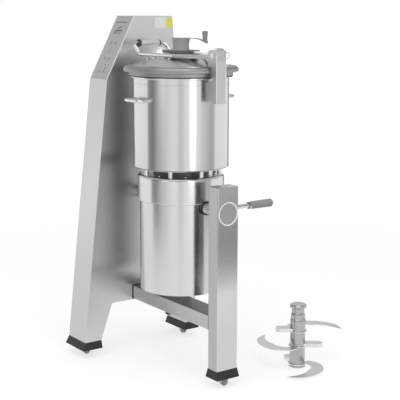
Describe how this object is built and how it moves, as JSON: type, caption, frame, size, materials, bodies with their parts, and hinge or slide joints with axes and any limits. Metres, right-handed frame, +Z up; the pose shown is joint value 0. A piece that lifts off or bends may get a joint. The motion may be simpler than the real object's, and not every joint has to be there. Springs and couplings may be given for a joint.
{
  "type": "vertical cutter mixer",
  "caption": "Floor-standing vertical cutter mixer: tilting bowl over a motor between a console and a post, hinged lid with crank wiper, and its lifted-out curved-blade cutter.",
  "frame": {"origin": "on the floor under the centre of the box round the machine and the cutter that stands beside it; the bowl's axis is at x 0, y -0.134 m", "axes": "+Z up, +X from the control console to the post, along the tilting axis, +Y from the operator's side to the back"},
  "size_m": [0.897, 0.868, 1.435],
  "materials": {
    "console_steel": "brushed sheet steel",
    "panel_steel": "satin grey panel plate",
    "display": "dark window",
    "lamp": "small lens",
    "board": "circuit board",
    "drive_box": "moulded case with fins",
    "key_plastic": "matte grey",
    "frame_steel": "brushed along the tube",
    "foot_rubber": "matte black",
    "castor_steel": "zinc plated",
    "wheel_tread": "grey tread",
    "bronze": "plain turned",
    "ring_steel": "bright ring",
    "gland_plastic": "matte",
    "motor_steel": "brushed round the axis",
    "winding": "laminated iron",
    "bearing_steel": "ground",
    "rotor_iron": "turned",
    "trunnion_steel": "turned",
    "bright_rod": "polished rod",
    "grip_grey": "grey moulded grip",
    "stud_steel": "turned",
    "bowl_steel": "polished sheet",
    "bracket_steel": "brushed block",
    "ring_alloy": "matte grey",
    "dome_steel": "polished sheet",
    "seal_rubber": "black",
    "cap_steel": "polished pressing",
    "wiper_plastic": "grey moulded",
    "wiper_steel": "plain bar",
    "cutter_steel": "turned and polished",
    "blade_steel": "ground blade steel"
  },
  "bodies": {
    "frame": {"console_body": "console_steel", "rear_cover": "console_steel", "control_panel": "panel_steel", "display_window": "display", "indicator_lamps": "lamp", "control_board": "board", "motor_drive": "drive_box", "beam": "frame_steel", "post": "frame_steel", "post_lid": "frame_steel", "foot_cap_front": "foot_rubber", "foot_cap_rear": "foot_rubber", "foot_cap_post": "foot_rubber", "castor_plates": "castor_steel", "pivot_bushes": "bronze", "pivot_ring": "ring_steel", "cable_gland": "gland_plastic"},
    "bowl_unit": {"motor_housing": "motor_steel", "motor_cover": "motor_steel", "motor_base": "motor_steel", "stator": "winding", "bearings": "bearing_steel", "trunnions": "trunnion_steel", "lever_rod": "bright_rod", "lever_grip": "grip_grey", "spacer_studs": "stud_steel", "shaft_neck": "stud_steel", "bowl": "bowl_steel", "bowl_handles": "bright_rod", "hinge_bracket": "bracket_steel", "hinge_pin": "bright_rod"},
    "drive": {"rotor": "rotor_iron", "drive_shaft": "bearing_steel"},
    "lid": {"lid_ring": "ring_alloy", "lid_dome": "dome_steel", "lid_seal": "seal_rubber", "lid_yoke": "bright_rod", "yoke_sleeve": "bright_rod"},
    "wiper": {"wiper": "wiper_plastic", "wiper_blade": "wiper_steel"},
    "crank_knob": {"crank_knob": "grip_grey"},
    "filling_cap": {"filling_cap": "cap_steel"},
    "cutter": {"cutter_hub": "cutter_steel", "cutter_spacers": "cutter_steel", "cutter_cap": "cutter_steel", "blade_lower": "blade_steel", "blade_middle": "blade_steel", "blade_upper": "blade_steel"},
    "key_1": {"key_1": "key_plastic"},
    "key_2": {"key_2": "key_plastic"},
    "key_3": {"key_3": "key_plastic"},
    "key_4": {"key_4": "key_plastic"},
    "key_5": {"key_5": "key_plastic"},
    "key_6": {"key_6": "key_plastic"},
    "castor_front": {"fork_front": "castor_steel"},
    "wheel_front": {"wheel_front": "wheel_tread"},
    "castor_rear": {"fork_rear": "castor_steel"},
    "wheel_rear": {"wheel_rear": "wheel_tread"},
    "castor_post": {"fork_post": "castor_steel"},
    "wheel_post": {"wheel_post": "wheel_tread"}
  },
  "joints": [
    {"name": "bowl_tilt", "type": "hinge", "parent": "frame", "child": "bowl_unit", "pos_m": [0, -0.134, 0.694], "axis": [1, 0, 0], "range_deg": [0, 110]},
    {"name": "drive_spin", "type": "hinge", "parent": "bowl_unit", "child": "drive", "pos_m": [0, -0.134, 0.6], "axis": [0, 0, 1], "continuous": true},
    {"name": "lid_hinge", "type": "hinge", "parent": "bowl_unit", "child": "lid", "pos_m": [0.243, -0.134, 1.29], "axis": [0, 1, 0], "range_deg": [0, 95]},
    {"name": "wiper_turn", "type": "hinge", "parent": "lid", "child": "wiper", "pos_m": [0, -0.134, 1.27], "axis": [0, 0, 1], "continuous": true},
    {"name": "knob_spin", "type": "hinge", "parent": "wiper", "child": "crank_knob", "pos_m": [0.09271, -0.08471, 1.35], "axis": [0, 0, 1], "continuous": true},
    {"name": "filling_cap_lift", "type": "slide", "parent": "lid", "child": "filling_cap", "axis": [0, 0, 1], "range_m": [0, 0.06]},
    {"name": "cutter_lift", "type": "slide", "parent": "frame", "child": "cutter", "axis": [0, 0, 1], "range_m": [0, 0.4]},
    {"name": "key_1_press", "type": "slide", "parent": "frame", "child": "key_1", "axis": [0, 0.8854, -0.4649], "range_m": [0, 0.001], "stiffness_N_per_m": 600, "springref_m": -0.0005},
    {"name": "key_2_press", "type": "slide", "parent": "frame", "child": "key_2", "axis": [0, 0.8854, -0.4649], "range_m": [0, 0.001], "stiffness_N_per_m": 600, "springref_m": -0.0005},
    {"name": "key_3_press", "type": "slide", "parent": "frame", "child": "key_3", "axis": [0, 0.8854, -0.4649], "range_m": [0, 0.001], "stiffness_N_per_m": 600, "springref_m": -0.0005},
    {"name": "key_4_press", "type": "slide", "parent": "frame", "child": "key_4", "axis": [0, 0.8854, -0.4649], "range_m": [0, 0.001], "stiffness_N_per_m": 600, "springref_m": -0.0005},
    {"name": "key_5_press", "type": "slide", "parent": "frame", "child": "key_5", "axis": [0, 0.8854, -0.4649], "range_m": [0, 0.001], "stiffness_N_per_m": 600, "springref_m": -0.0005},
    {"name": "key_6_press", "type": "slide", "parent": "frame", "child": "key_6", "axis": [0, 0.8854, -0.4649], "range_m": [0, 0.001], "stiffness_N_per_m": 600, "springref_m": -0.0005},
    {"name": "castor_front_swivel", "type": "hinge", "parent": "frame", "child": "castor_front", "pos_m": [-0.36525, -0.384, 0.05], "axis": [0, 0, 1], "continuous": true},
    {"name": "wheel_front_roll", "type": "hinge", "parent": "castor_front", "child": "wheel_front", "pos_m": [-0.35725, -0.384, 0.021], "axis": [0, 1, 0], "continuous": true},
    {"name": "castor_rear_swivel", "type": "hinge", "parent": "frame", "child": "castor_rear", "pos_m": [-0.36525, 0.125, 0.05], "axis": [0, 0, 1], "continuous": true},
    {"name": "wheel_rear_roll", "type": "hinge", "parent": "castor_rear", "child": "wheel_rear", "pos_m": [-0.35725, 0.125, 0.021], "axis": [0, 1, 0], "continuous": true},
    {"name": "castor_post_swivel", "type": "hinge", "parent": "frame", "child": "castor_post", "pos_m": [0.2845, -0.134, 0.05], "axis": [0, 0, 1], "continuous": true},
    {"name": "wheel_post_roll", "type": "hinge", "parent": "castor_post", "child": "wheel_post", "pos_m": [0.2925, -0.134, 0.021], "axis": [0, 1, 0], "continuous": true}
  ]
}
